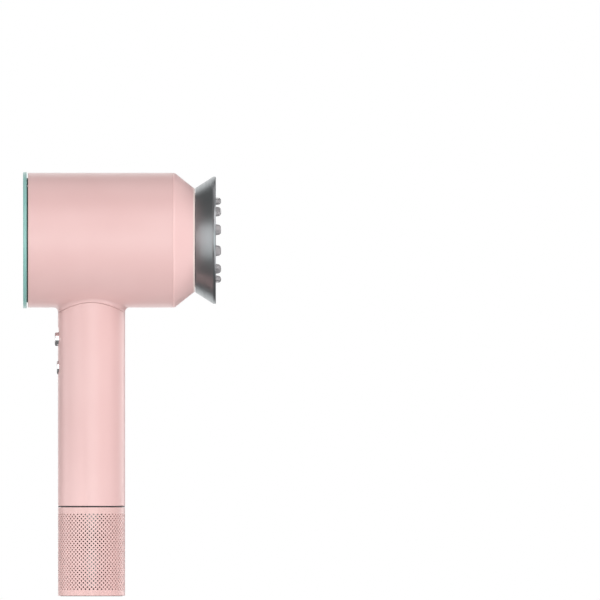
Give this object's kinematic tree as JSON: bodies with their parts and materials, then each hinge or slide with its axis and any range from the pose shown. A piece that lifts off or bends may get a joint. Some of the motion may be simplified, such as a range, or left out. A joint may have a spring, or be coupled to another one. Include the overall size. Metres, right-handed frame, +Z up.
{
  "type": "hair dryer",
  "caption": "Hand-held hair dryer: hollow drum head on a round handle with the motor inside, rear control ring, pull-off filter cage and a clip-on flared diffuser nozzle that turns.",
  "frame": {"origin": "mouth of the cord entry, at the centre of the handle's bottom face", "axes": "+Z up the handle's axis to the head, +X along the head towards the air outlet, +Y to the left seen from behind the head"},
  "size_m": [0.1146, 0.079, 0.2455],
  "materials": {
    "pink_coat": "satin",
    "pale_lip": "satin",
    "teal_coat": "satin",
    "deep_teal": "satin",
    "bore_lacquer": "gloss",
    "black_nylon": "matte",
    "chrome_plate": "polished",
    "steel": "brushed",
    "bell_metal": "satin",
    "smoked_plastic": "gloss",
    "heating_wire": "drawn",
    "mica": "matte",
    "board_laminate": "satin",
    "moulded_parts": "satin",
    "copper": "drawn",
    "magnet": "plated",
    "silicone": "matte",
    "foam": "open cell",
    "steel_mesh": "woven",
    "cage_coat": "satin",
    "light_guide": "gloss"
  },
  "bodies": {
    "dryer": {"head_shell": "pink_coat", "front_cone": "pink_coat", "outlet_rim": "pale_lip", "dock_ring": "steel", "outlet_spider": "black_nylon", "bore_liner": "bore_lacquer", "rear_disc": "teal_coat", "rear_cap": "deep_teal", "indicator_lights": "light_guide", "control_board": "board_laminate", "button_switches": "moulded_parts", "bulkhead": "black_nylon", "heater_frame": "mica", "heater_coils": "heating_wire", "heat_shield": "mica", "thermal_cutout": "steel", "temperature_sensor": "steel", "ioniser_needle": "steel", "neck_duct": "black_nylon", "handle_shell": "pink_coat", "power_board": "board_laminate", "board_parts": "moulded_parts", "power_switch": "moulded_parts", "cold_shot_switch": "moulded_parts", "heater_leads": "silicone", "motor_leads": "silicone", "control_ribbon": "moulded_parts", "handle_liner": "black_nylon", "motor_housing": "bell_metal", "motor_mounts": "silicone", "motor_bearings": "steel", "stator_core": "steel", "stator_coils": "copper", "motor_spider": "black_nylon", "motor_bridge": "black_nylon", "motor_board": "board_laminate", "acoustic_foam": "foam", "filter_mesh": "steel_mesh", "cage_seal": "silicone", "base_cap": "black_nylon", "base_screws": "steel", "cord_gland": "silicone", "cord_clamp": "black_nylon", "clamp_screws": "steel"},
    "power_slider": {"power_slider": "chrome_plate"},
    "cold_shot_button": {"cold_shot_button": "chrome_plate"},
    "speed_button": {"speed_button": "chrome_plate"},
    "heat_button": {"heat_button": "chrome_plate"},
    "filter_cage": {"filter_cage": "cage_coat"},
    "rotor": {"impeller": "moulded_parts", "rotor_shaft": "steel", "rotor_magnet": "magnet"},
    "nozzle_dock": {"nozzle_collar": "smoked_plastic", "nozzle_seal": "silicone"},
    "nozzle": {"nozzle_bell": "bell_metal", "nozzle_magnets": "magnet", "nozzle_rim": "bell_metal", "nozzle_face": "smoked_plastic", "nozzle_prongs": "smoked_plastic", "nozzle_hub": "smoked_plastic"}
  },
  "joints": [
    {"name": "nozzle_pull", "type": "slide", "parent": "dryer", "child": "nozzle_dock", "axis": [1, 0, 0], "range_m": [0, 0.03]},
    {"name": "nozzle_turn", "type": "hinge", "parent": "nozzle_dock", "child": "nozzle", "pos_m": [0.0601, 0, 0.206], "axis": [1, 0, 0], "continuous": true},
    {"name": "power_slide", "type": "slide", "parent": "dryer", "child": "power_slider", "axis": [0, 0, 1], "range_m": [0, 0.003]},
    {"name": "cold_shot_press", "type": "slide", "parent": "dryer", "child": "cold_shot_button", "axis": [1, 0, 0], "range_m": [0, 0.001], "stiffness_N_per_m": 2000},
    {"name": "speed_press", "type": "slide", "parent": "dryer", "child": "speed_button", "axis": [1, 0, 0], "range_m": [0, 0.0008], "stiffness_N_per_m": 2000},
    {"name": "heat_press", "type": "slide", "parent": "dryer", "child": "heat_button", "axis": [1, 0, 0], "range_m": [0, 0.0008], "stiffness_N_per_m": 2000},
    {"name": "filter_pull", "type": "slide", "parent": "dryer", "child": "filter_cage", "axis": [0, 0, -1], "range_m": [0, 0.055]},
    {"name": "rotor_spin", "type": "hinge", "parent": "dryer", "child": "rotor", "pos_m": [0, 0, 0.077], "axis": [0, 0, 1], "continuous": true}
  ]
}
